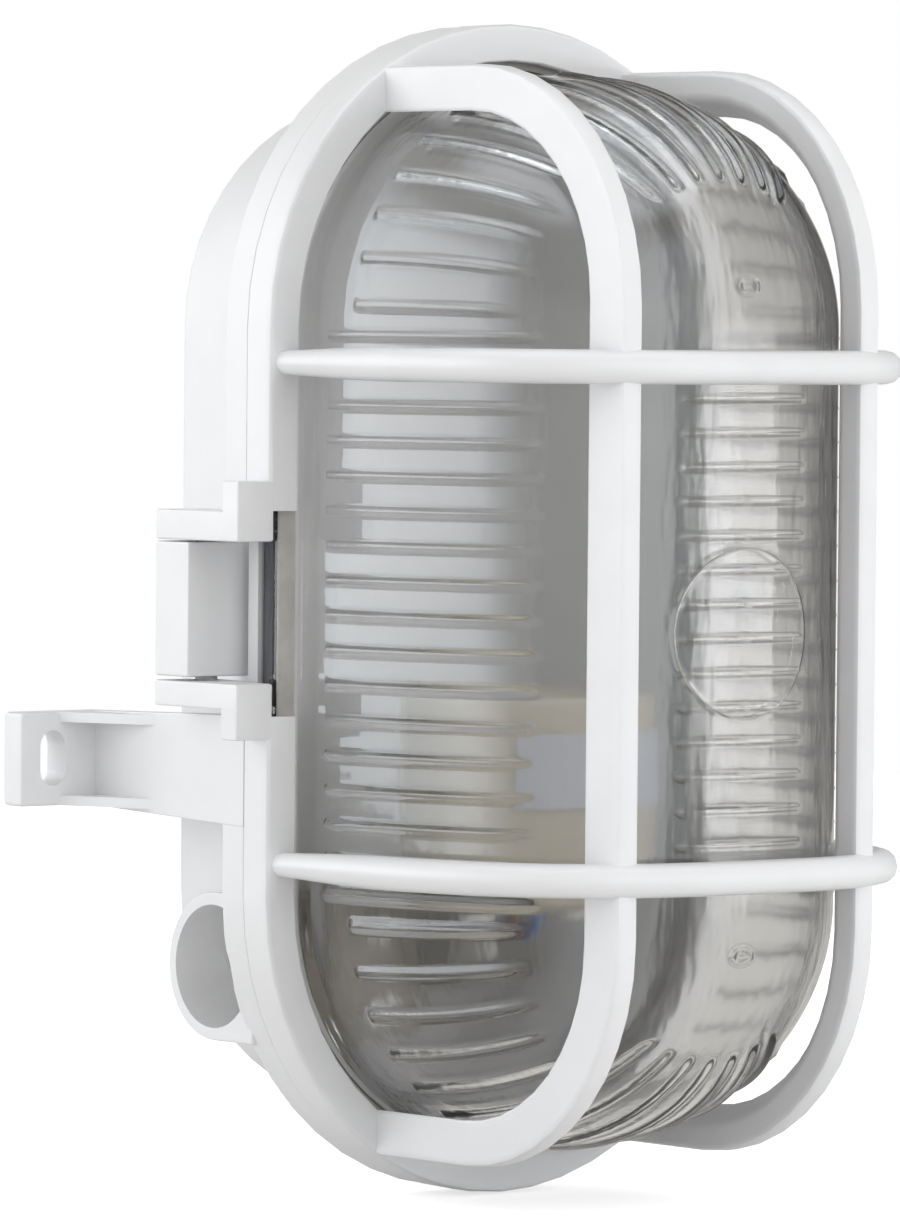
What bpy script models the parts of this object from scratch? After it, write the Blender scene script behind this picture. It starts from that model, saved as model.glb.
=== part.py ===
"""Oval outdoor wall light: tub-shaped base, ribbed glass dome and a hinged guard cage.

The light hangs on a wall at y = 0 and looks towards -Y, with +Z up.
Lengths below are in millimetres. They turn into metres where a mesh is made.
Depths are measured from the front plane of the guard's rim, towards the wall.
"""

import math

import bmesh
import bpy

MM = 0.001
GAP = 0.3  # play left between neighbouring pieces
CLEAR = 4.0  # how far a cut runs on past the piece

# Oval outline, shared by the base, the gasket, the glass and the guard
FRONT = -51.0  # y of the rim's front plane, seen from the wall
HALF_STRAIGHT = 45.5  # half of the straight side
OVAL_STEPS = 24  # facets in each half circle

# Guard rim
RIM_RADIUS = 49.5
RIM_LIP = 6.0  # how far the rim reaches in over the glass
RIM_OPENING = RIM_RADIUS - RIM_LIP
RIM_PLATE = 2.0
RIM_DEPTH = 5.7
RIM_WALL = 2.2
RIM_EDGE = 1.1
NOTCH_HALF = 16.4  # the rim is open here, round the hinge

# Glass dome
GLASS_INSET = 2.2
GLASS_RADIUS = RIM_OPENING - GLASS_INSET
GLASS_FRONT = 59.3
GLASS_POWER = 2.45
GLASS_WALL = 2.4
FLANGE_RADIUS = RIM_OPENING + 2.1
NIB_RADIUS = FLANGE_RADIUS - 1.0  # four nibs of the guard reach in behind the flange
NIB_Z = HALF_STRAIGHT - 15.5
NIB_HALF = 3.0
FLANGE_FRONT = RIM_PLATE + GAP
FLANGE_BACK = 4.7
RIB_HEIGHT = 0.7
RIB_PITCH = 5.56
SIDE_RIBS = 17
FAN_RIBS = 17
RIB_HALF_WIDTH = 1.1
SIDE_RIB_START = 4.5
FAN_RIB_START = 10.5
SIDE_RIB_END = 27.5
FAN_RIB_END = 23.5
LADDER_RIBS = 14
LADDER_PITCH = 5.39
LADDER_HALF = 13.5
LADDER_RADIUS = 0.8

# Guard hoops: flat straps, deeper on the outer side than on the inner one
HOOP_X = 24.4
HOOP_WIDTH = 4.2
HOOP_TOP = HALF_STRAIGHT + RIM_RADIUS - 7.4
HOOP_FRONT = GLASS_FRONT + 1.2
HOOP_CORNER = 38.2
HOOP_OUTER_THICK = (7.9, 9.2)  # at the top and at the front, on the outer side
HOOP_OUTER_CORNER = HOOP_CORNER - 8.9
HOOP_INNER_THICK = (4.6, 5.2)  # at the top and at the front, on the inner side
HOOP_INNER_CORNER = HOOP_CORNER - 4.8
HOOP_EDGE = 1.1

# Guard bars
BAR_Z = 40.0
BAR_REACH = GLASS_FRONT + 3.7
BAR_SPREAD = RIM_RADIUS - 3.2
BAR_POWER = 3.0
BAR_ROOT_RADIUS = 1.9
BAR_RADIUS = 2.7

# Hinge on the left side
PIVOT_X = -RIM_RADIUS + 0.7
PIVOT_DEPTH = 17.0
PIN_RADIUS = 1.8
PIN_BORE = PIN_RADIUS + GAP
BORE_REACH = NOTCH_HALF + 13.6
HINGE_OUT = PIVOT_X - 6.8
HINGE_BACK = 21.8
BLOCK_BOTTOM = -10.4
BLOCK_TOP = 11.2
BLOCK_FRONT = 13.0
ARM_THICK_UPPER = 4.8
ARM_THICK_LOWER = 4.1
LEG_DEPTH = 4.2
LEG_HEIGHT = 4.9
LOWER_PLAY = 0.7

# Closing screw on the right side
LUG_OUT = RIM_RADIUS + 8.5
LUG_HALF = 5.0
CLOSE_X = RIM_RADIUS + 3.7
SCREW_RADIUS = 1.9
SCREW_BORE = SCREW_RADIUS + GAP + 0.1
SCREW_HEAD = 3.9

# Base
BASE_INSET = 0.2
BASE_RADIUS = RIM_RADIUS - BASE_INSET
BASE_FRONT = RIM_DEPTH + GAP
BASE_BAND_BACK = 11.8
BAND_WALL = 1.9
FLOOR_BACK = 40.0
FLOOR_THICK = 2.0
TUB_TOP_RADIUS = RIM_RADIUS - 8.7
TUB_BACK_RADIUS = TUB_TOP_RADIUS - 3.5
TUB_WALL = 2.1
GROOVE_OUTER = RIM_RADIUS - 5.2
GROOVE_INNER = GROOVE_OUTER - 4.0
GROOVE_FLOOR = 8.5

# Wall feet
FOOT_OUT = RIM_RADIUS + 15.0
FOOT_DEPTH = 5.0
WEB_THICK = 2.3
WEB_TOP = (-16.3, -17.3)  # at the band and at the foot
WEB_BOTTOM = (-34.3, -32.6)
GUSSET_THICK = 1.6
GUSSET_START = 28.4
GUSSET_REACH = RIM_RADIUS + 7.5
SLOT_X = FOOT_OUT - 6.4
SLOT_Z = -24.8
SLOT_WIDTH = 5.0
SLOT_HEIGHT = 9.1

# Cable entry
ENTRY_DEPTH = 21.1
ENTRY_Z = -HALF_STRAIGHT - 12.2
ENTRY_RADIUS = 12.0
ENTRY_BORE = 10.0
ENTRY_MOUTH = -TUB_TOP_RADIUS - 3.2

# Lampholder
HOLDER_DEPTH = -5.0
HOLDER_RADIUS = 20.5
HOLDER_MOUTH = -13.3
HOLDER_SHOULDER = -40.0
HOLDER_BOTTOM = -47.0
HOLDER_NECK = HOLDER_RADIUS - 6.0
HOLDER_BORE = HOLDER_RADIUS - 5.5
HOLDER_SCREW_X = HOLDER_NECK - 4.3
LABEL_TOP = HOLDER_MOUTH - 5.7
LABEL_BOTTOM = LABEL_TOP - 12.0
LABEL_THICK = 0.3
SHELL_RADIUS = HOLDER_BORE - 1.4
THREAD_PITCH = 3.62
THREAD_HEIGHT = 0.6
SHELL_WALL = 0.5
BRACKET_THICK = 1.5
BRACKET_HALF = 9.0
BRACKET_BACK = 35.4
BRACKET_BOTTOM = -HALF_STRAIGHT - 27.5
SMALL_SHANK = 1.4
SMALL_HEAD = 2.9

# Terminal block
BLOCK_X = 18.5
BLOCK_Z = -HALF_STRAIGHT - 12.5
BLOCK_WIDTH = 17.0
BLOCK_HEIGHT = 12.0
BLOCK_DEPTH = 11.0
POLE_OFFSET = 4.2
LEAD_RADIUS = 1.1
POST_RADIUS = 2.8
POST_HEIGHT = 3.0
FIXING_SHANK = 1.2


def clear_scene():
    for item in list(bpy.data.objects):
        bpy.data.objects.remove(item, do_unlink=True)


def make_collection(name, hidden=False):
    collection = bpy.data.collections.new(name)
    bpy.context.scene.collection.children.link(collection)
    collection.hide_render = hidden
    return collection


def make_material(name, colour, roughness, metallic=0.0, transmission=0.0):
    material = bpy.data.materials.new(name)
    material.use_nodes = True
    shader = material.node_tree.nodes["Principled BSDF"]
    shader.inputs["Base Color"].default_value = (*colour, 1.0)
    shader.inputs["Roughness"].default_value = roughness
    shader.inputs["Metallic"].default_value = metallic
    shader.inputs["Transmission Weight"].default_value = transmission
    material.diffuse_color = (*colour, 1.0)
    return material


def add_object(name, mesh, collection, material=None):
    item = bpy.data.objects.new(name, mesh)
    collection.objects.link(item)
    if collection.hide_render:
        item.hide_render = True
        item.display_type = "WIRE"
    if material:
        item.data.materials.append(material)
    return item


def mesh_from(name, points, faces):
    """A mesh in metres from points in millimetres, with its faces turned outwards."""
    mesh = bpy.data.meshes.new(name)
    mesh.from_pydata([(x * MM, y * MM, z * MM) for x, y, z in points], [], faces)
    form = bmesh.new()
    form.from_mesh(mesh)
    bmesh.ops.remove_doubles(form, verts=form.verts, dist=1e-6)
    bmesh.ops.recalc_face_normals(form, faces=form.faces)
    form.to_mesh(mesh)
    form.free()
    return mesh


def loft(name, rings, looped=False):
    """Joins rings of points with faces. A loft that isn't looped is capped at both ends."""
    count = len(rings[0])
    points = [point for ring in rings for point in ring]
    faces = []
    last = len(rings) if looped else len(rings) - 1
    for r in range(last):
        a = r * count
        b = ((r + 1) % len(rings)) * count
        for i in range(count):
            j = (i + 1) % count
            faces.append((a + i, a + j, b + j, b + i))
    if not looped:
        faces.append(tuple(range(count)))
        faces.append(tuple(range((len(rings) - 1) * count, len(rings) * count)))
    return mesh_from(name, points, faces)


def oval(radius, y, steps=OVAL_STEPS):
    """One ring of points round the oval outline, at the given distance from its spine."""
    ring = []
    for end in (1, -1):
        for i in range(steps + 1):
            angle = math.pi * i / steps
            x = end * radius * math.cos(angle)
            z = end * (HALF_STRAIGHT + radius * math.sin(angle))
            ring.append((x, y, z))
    return ring


def oval_sweep(name, section, looped=True):
    """Sweeps a section of (radius, depth) pairs round the oval."""
    return loft(name, [oval(radius, FRONT + depth) for radius, depth in section], looped)


def box(name, x, depth, z):
    """A box between pairs of x, depth and z."""
    near = FRONT + depth[0]
    far = FRONT + depth[1]
    rings = []
    for y in (near, far):
        rings.append([(x[0], y, z[0]), (x[1], y, z[0]), (x[1], y, z[1]), (x[0], y, z[1])])
    return loft(name, rings)


def prism(name, outline, low, high, axis):
    """Extrudes an outline between two positions along X or Z."""
    rings = []
    for level in (low, high):
        if axis == "X":
            rings.append([(level, FRONT + depth, z) for depth, z in outline])
        else:
            rings.append([(x, FRONT + depth, level) for x, depth in outline])
    return loft(name, rings)


def lathe(name, section, centre, axis, steps=24, looped=False):
    """Turns a section of (radius, height) pairs about an axis through the centre (x, depth, z)."""
    cx, depth, cz = centre
    cy = FRONT + depth
    rings = []
    for radius, height in section:
        ring = []
        for i in range(steps):
            angle = 2 * math.pi * i / steps
            a = radius * math.cos(angle)
            b = radius * math.sin(angle)
            if axis == "X":
                ring.append((cx + height, cy + a, cz + b))
            elif axis == "Y":
                ring.append((cx + a, cy + height, cz + b))
            else:
                ring.append((cx + a, cy + b, cz + height))
        rings.append(ring)
    return loft(name, rings, looped)


def tube(name, path, radii, sides=4):
    """A round bar along a path, made as a curve and turned into a mesh."""
    curve = bpy.data.curves.new(name, "CURVE")
    curve.dimensions = "3D"
    curve.bevel_depth = MM
    curve.bevel_resolution = sides
    curve.use_fill_caps = True
    line = curve.splines.new("POLY")
    line.points.add(len(path) - 1)
    for point, place, radius in zip(line.points, path, radii):
        point.co = (place[0] * MM, place[1] * MM, place[2] * MM, 1.0)
        point.radius = radius
    holder = bpy.data.objects.new(name, curve)
    bpy.context.scene.collection.objects.link(holder)
    graph = bpy.context.evaluated_depsgraph_get()
    mesh = bpy.data.meshes.new_from_object(holder.evaluated_get(graph))
    bpy.data.objects.remove(holder, do_unlink=True)
    form = bmesh.new()
    form.from_mesh(mesh)
    bmesh.ops.remove_doubles(form, verts=form.verts, dist=1e-6)
    bmesh.ops.recalc_face_normals(form, faces=form.faces)
    form.to_mesh(mesh)
    form.free()
    mesh.name = name
    return mesh


def round_edges(item, width, segments=2, angle=35.0):
    bevel = item.modifiers.new("edges", "BEVEL")
    bevel.width = width * MM
    bevel.segments = segments
    bevel.limit_method = "ANGLE"
    bevel.angle_limit = math.radians(angle)
    return item


def combine(item, operation, mesh, width=0.0):
    """Adds a mesh to an object or cuts it away. The helper object is kept, hidden."""
    helper = add_object(mesh.name, mesh, helpers)
    if width:
        round_edges(helper, width)
    boolean = item.modifiers.new(mesh.name, "BOOLEAN")
    boolean.operation = operation
    boolean.solver = "EXACT"
    boolean.object = helper
    return helper


def corner_path(front, top, corner, stand):
    """Half of a hoop's side outline as (depth, z) pairs, from the rim to the middle."""
    path = [(stand, top), (-(front - corner), top)]
    steps = 10
    for i in range(1, steps + 1):
        angle = 0.5 * math.pi * i / steps
        depth = -(front - corner) - corner * math.sin(angle)
        path.append((depth, top - corner + corner * math.cos(angle)))
    path.append((-front, 0.0))
    return path


def hoop_mesh(name, side):
    """One hoop: three matched outlines give the front face and the slanted inner face."""
    stand = RIM_PLATE - 0.6
    outer = corner_path(HOOP_FRONT, HOOP_TOP, HOOP_CORNER, stand)
    deep = corner_path(
        HOOP_FRONT - HOOP_OUTER_THICK[1],
        HOOP_TOP - HOOP_OUTER_THICK[0],
        HOOP_OUTER_CORNER,
        stand,
    )
    shallow = corner_path(
        HOOP_FRONT - HOOP_INNER_THICK[1],
        HOOP_TOP - HOOP_INNER_THICK[0],
        HOOP_INNER_CORNER,
        stand,
    )
    x_out = side * (HOOP_X + HOOP_WIDTH / 2)
    x_in = side * (HOOP_X - HOOP_WIDTH / 2)
    rings = []
    for sign in (1, -1):
        stations = list(zip(outer, deep, shallow))
        if sign < 0:
            stations = stations[-2::-1]
        for front, back, near in stations:
            rings.append(
                [
                    (x_in, FRONT + front[0], sign * front[1]),
                    (x_out, FRONT + front[0], sign * front[1]),
                    (x_out, FRONT + back[0], sign * back[1]),
                    (x_in, FRONT + near[0], sign * near[1]),
                ]
            )
    return loft(name, rings)


def bar_mesh(name, z):
    """A round bar that bows over the hoops, thinner where it springs from the rim."""
    path = []
    radii = []
    steps = 28
    for i in range(steps + 1):
        angle = math.pi * i / steps
        c = math.cos(angle)
        s = math.sin(angle)
        x = -BAR_SPREAD * math.copysign(abs(c) ** (2 / BAR_POWER), c)
        y = -BAR_REACH * abs(s) ** (2 / BAR_POWER)
        if i in (0, steps):
            y = 0.6
        grow = min(1.0, max(0.0, -y / 20.0))
        path.append((x, FRONT + y, z))
        radii.append(BAR_ROOT_RADIUS + (BAR_RADIUS - BAR_ROOT_RADIUS) * grow)
    return tube(name, path, radii)


def build_guard(material):
    section = [
        (RIM_OPENING, 0.25),
        (RIM_OPENING + 0.25, 0.0),
        (RIM_RADIUS - RIM_EDGE, 0.0),
        (RIM_RADIUS - 0.3 * RIM_EDGE, 0.3 * RIM_EDGE),
        (RIM_RADIUS, RIM_EDGE),
        (RIM_RADIUS, RIM_DEPTH),
        (RIM_RADIUS - RIM_WALL, RIM_DEPTH),
        (RIM_RADIUS - RIM_WALL, RIM_PLATE),
        (RIM_OPENING, RIM_PLATE),
    ]
    guard = add_object("guard_cage", oval_sweep("guard_cage", section), product, material)
    notch_x = (-RIM_RADIUS - CLEAR, -RIM_OPENING + CLEAR)
    notch = box("guard_notch", notch_x, (-CLEAR, RIM_DEPTH + CLEAR), (-NOTCH_HALF, NOTCH_HALF))
    combine(guard, "DIFFERENCE", notch)
    for label, side in (("left", -1), ("right", 1)):
        combine(guard, "UNION", hoop_mesh("hoop_" + label, side), HOOP_EDGE)
    for label, z in (("upper", BAR_Z), ("lower", -BAR_Z)):
        combine(guard, "UNION", bar_mesh("bar_" + label, z))
    # Hinge arms: each hangs on a short leg that is part of the rim
    inner_front = -RIM_RADIUS + 0.9
    eye = PIN_BORE + 1.2
    inner_back = PIVOT_X + eye
    waist = 9.0
    outline = [(HINGE_OUT, 0.0), (inner_front, 0.0), (inner_front, waist), (inner_back, waist + 1.5)]
    for i in range(5):
        angle = 0.5 * math.pi * i / 4
        x = PIVOT_X + eye * math.cos(angle)
        depth = PIVOT_DEPTH + eye * math.sin(angle)
        outline.append((x, depth))
    outline += [(PIVOT_X, HINGE_BACK), (HINGE_OUT, HINGE_BACK)]
    upper = BLOCK_TOP + GAP
    lower = BLOCK_BOTTOM - LOWER_PLAY
    arms = (
        ("upper", upper, upper + ARM_THICK_UPPER, 1),
        ("lower", lower - ARM_THICK_LOWER, lower, -1),
    )
    for label, low, high, sign in arms:
        arm = prism("hinge_arm_" + label, outline, low, high, "Z")
        combine(guard, "UNION", arm, 0.35)
        start = low if sign > 0 else high
        end = high + LEG_HEIGHT if sign > 0 else low - LEG_HEIGHT
        leg = box(
            "hinge_leg_" + label,
            (HINGE_OUT + 0.02, -RIM_RADIUS + 1.2),
            (0.02, LEG_DEPTH),
            (min(start, end) + 0.02, max(start, end) - 0.02),
        )
        combine(guard, "UNION", leg, 0.35)
    bore = lathe("hinge_bore", [(PIN_BORE, -BORE_REACH), (PIN_BORE, BORE_REACH)], (PIVOT_X, PIVOT_DEPTH, 0), "Z")
    combine(guard, "DIFFERENCE", bore)
    # Lug for the closing screw
    lug_x = (RIM_RADIUS - RIM_WALL + 0.5, LUG_OUT)
    lug = box("closing_lug", lug_x, (0.05, RIM_DEPTH - 0.02), (-LUG_HALF, LUG_HALF))
    combine(guard, "UNION", lug, 0.6)
    hole = lathe("closing_hole", [(SCREW_BORE, -5.0), (SCREW_BORE, 12.0)], (CLOSE_X, 0, 0), "Y")
    combine(guard, "DIFFERENCE", hole)
    # Nibs that keep the glass in the rim
    for side in (-1, 1):
        for z in (-NIB_Z, NIB_Z):
            name = "glass_nib_%s_%s" % ("left" if side < 0 else "right", "low" if z < 0 else "high")
            x = sorted((side * NIB_RADIUS, side * (RIM_RADIUS - RIM_WALL + 0.5)))
            nib = box(name, x, (FLANGE_BACK + GAP, RIM_DEPTH), (z - NIB_HALF, z + NIB_HALF))
            combine(guard, "UNION", nib)
    return guard


def glass_radius(depth, radius=GLASS_RADIUS, front=GLASS_FRONT):
    """Radius of the dome at a depth in front of the rim."""
    ratio = min(1.0, abs(min(depth, 0.0)) / front)
    return radius * max(0.0, 1.0 - ratio**GLASS_POWER) ** (1.0 / GLASS_POWER)


def glass_depth(radius, rim=GLASS_RADIUS, front=GLASS_FRONT):
    """Depth of the dome at a radius, the inverse of glass_radius."""
    return -front * max(0.0, 1.0 - (radius / rim) ** GLASS_POWER) ** (1.0 / GLASS_POWER)


def rib_stations():
    """Places round the oval as (x factor, z factor, spine z, crest, on a side)."""
    side = []
    for k in range(SIDE_RIBS):
        z = (k - (SIDE_RIBS - 1) / 2) * RIB_PITCH
        for shift, crest in ((-RIB_HALF_WIDTH, 0), (0.0, 1), (RIB_HALF_WIDTH, 0)):
            side.append((z + shift, crest))
    fan = []
    pitch = math.pi / FAN_RIBS
    for k in range(FAN_RIBS):
        angle = (k + 0.5) * pitch
        for shift, crest in ((-0.26 * pitch, 0), (0.0, 1), (0.26 * pitch, 0)):
            fan.append((angle + shift, crest))
    stations = []
    for angle, crest in fan:
        stations.append((math.cos(angle), math.sin(angle), HALF_STRAIGHT, crest, False))
    for z, crest in reversed(side):
        stations.append((-1.0, 0.0, z, crest, True))
    for angle, crest in fan:
        stations.append((-math.cos(angle), -math.sin(angle), -HALF_STRAIGHT, crest, False))
    for z, crest in side:
        stations.append((1.0, 0.0, z, crest, True))
    return stations


def rib_rise(radius, depth, on_side):
    """Height of a rib crest, which fades out at both ends of the rib."""
    start = SIDE_RIB_START if on_side else FAN_RIB_START
    end = SIDE_RIB_END if on_side else FAN_RIB_END
    rise = min(1.0, max(0.0, (-depth - start) / 1.6))
    fall = min(1.0, max(0.0, (radius - end) / 1.2))
    return RIB_HEIGHT * min(rise, fall)


def dome_outer():
    stations = rib_stations()
    section = [(FLANGE_RADIUS, FLANGE_BACK), (FLANGE_RADIUS, FLANGE_FRONT), (GLASS_RADIUS, FLANGE_FRONT)]
    section.append((glass_radius(-0.01), -0.01))
    for start in (SIDE_RIB_START, FAN_RIB_START):
        for depth in (-start + 0.1, -start - 1.7):
            section.append((glass_radius(depth), depth))
    for share in (0.37, 0.57):
        depth = -share * GLASS_FRONT
        section.append((glass_radius(depth), depth))
    for radius in (SIDE_RIB_END + 3.0, SIDE_RIB_END + 1.3, SIDE_RIB_END - 0.1):
        section.append((radius, glass_depth(radius)))
    for radius in (FAN_RIB_END + 1.3, FAN_RIB_END - 0.1, 0.4 * GLASS_RADIUS, 0.22 * GLASS_RADIUS, 1.5):
        section.append((radius, glass_depth(radius)))
    rings = []
    for radius, depth in section:
        slope = glass_radius(depth - 0.5) - glass_radius(depth + 0.5)
        across = 1.0 / math.hypot(1.0, slope)
        ring = []
        for fx, fz, spine, crest, on_side in stations:
            rise = crest * rib_rise(radius, depth, on_side)
            r = radius + rise * across
            d = depth + rise * across * slope
            ring.append((fx * r, FRONT + d, spine + fz * r))
        rings.append(ring)
    return loft("glass_dome", rings)


def dome_inner():
    rim = GLASS_RADIUS - GLASS_WALL
    front = GLASS_FRONT - GLASS_WALL
    section = [(rim, FLANGE_BACK + 4.0), (rim, -0.01)]
    for share in (0.14, 0.28, 0.42, 0.56, 0.67):
        depth = -share * front
        section.append((glass_radius(depth, rim, front), depth))
    for share in (0.69, 0.56, 0.41, 0.23, 0.04):
        radius = share * rim
        section.append((radius, glass_depth(radius, rim, front)))
    return loft("dome_hollow", [oval(radius, FRONT + depth, 14) for radius, depth in section])


def ladder_mesh():
    """The short cross ribs on the dome's front face, one closed bar each."""
    points = []
    faces = []
    sides = 6
    for k in range(LADDER_RIBS):
        z = (k - (LADDER_RIBS - 1) / 2) * LADDER_PITCH
        xs = [-LADDER_HALF, -LADDER_HALF + 0.8, 0.0, LADDER_HALF - 0.8, LADDER_HALF]
        first = len(points)
        for n, x in enumerate(xs):
            size = LADDER_RADIUS * (0.55 if n in (0, len(xs) - 1) else 1.0)
            for i in range(sides):
                angle = 2 * math.pi * i / sides
                y = FRONT + glass_depth(abs(x)) + size * math.cos(angle)
                points.append((x, y, z + size * math.sin(angle)))
        for n in range(len(xs) - 1):
            for i in range(sides):
                j = (i + 1) % sides
                a = first + n * sides
                b = a + sides
                faces.append((a + i, a + j, b + j, b + i))
        faces.append(tuple(first + i for i in range(sides)))
        faces.append(tuple(first + (len(xs) - 1) * sides + i for i in range(sides)))
    return mesh_from("ladder_ribs", points, faces)


def build_glass(material):
    glass = add_object("glass_dome", dome_outer(), product, material)
    combine(glass, "UNION", ladder_mesh())
    combine(glass, "DIFFERENCE", dome_inner())
    return glass


def build_gasket(material):
    inner = GROOVE_INNER + GAP
    outer = GROOVE_OUTER - GAP
    back = GROOVE_FLOOR - GAP
    front = FLANGE_BACK + GAP
    middle = (inner + outer) / 2
    section = [
        (inner, back),
        (inner, front + 0.6),
        (middle - 0.9, front),
        (middle + 0.9, front),
        (outer, front + 0.6),
        (outer, back),
    ]
    return add_object("dome_gasket", oval_sweep("dome_gasket", section), product, material)


def foot_parts(base, label, side):
    """A foot that reaches back to the wall. The right one is the left one turned half round."""
    def place(x, z):
        return sorted((side * abs(v) for v in x)), sorted(-side * v for v in z)

    out = RIM_RADIUS
    back = -FRONT
    web_x = sorted((side * out, side * (out - WEB_THICK)))
    outline = [
        (BASE_FRONT, WEB_TOP[0]),
        (back - 0.5, WEB_TOP[1]),
        (back - 0.5, WEB_BOTTOM[1]),
        (BASE_FRONT, WEB_BOTTOM[0]),
    ]
    outline = [(depth, -side * z) for depth, z in outline]
    combine(base, "UNION", prism("foot_web_" + label, outline, web_x[0], web_x[1], "X"), 0.3)
    x, z = place((out - WEB_THICK + 0.05, FOOT_OUT), (WEB_TOP[1], WEB_BOTTOM[1]))
    combine(base, "UNION", box("foot_pad_" + label, x, (back - FOOT_DEPTH, back), z), 0.7)
    gusset = [(GUSSET_START, out - 0.6), (back - FOOT_DEPTH + 0.6, out - 0.6), (back - FOOT_DEPTH + 0.6, GUSSET_REACH)]
    gusset = [(side * x, depth) for depth, x in gusset]
    levels = (
        ("top", WEB_TOP[1] - 0.05, WEB_TOP[1] - 0.05 - GUSSET_THICK),
        ("bottom", WEB_BOTTOM[1] + 0.05 + GUSSET_THICK, WEB_BOTTOM[1] + 0.05),
    )
    for end, a, b in levels:
        low, high = sorted((-side * a, -side * b))
        name = "foot_gusset_%s_%s" % (label, end)
        combine(base, "UNION", prism(name, gusset, low, high, "Z"))
    half = (SLOT_HEIGHT - SLOT_WIDTH) / 2
    ring = []
    for end in (1, -1):
        for i in range(9):
            angle = math.pi * i / 8
            ring.append((end * math.cos(angle) * SLOT_WIDTH / 2, end * (half + math.sin(angle) * SLOT_WIDTH / 2)))
    rings = []
    for y in (-15.0, 5.0):
        rings.append([(side * SLOT_X + x, y, -side * SLOT_Z + z) for x, z in ring])
    combine(base, "DIFFERENCE", loft("foot_slot_" + label, rings))


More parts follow.
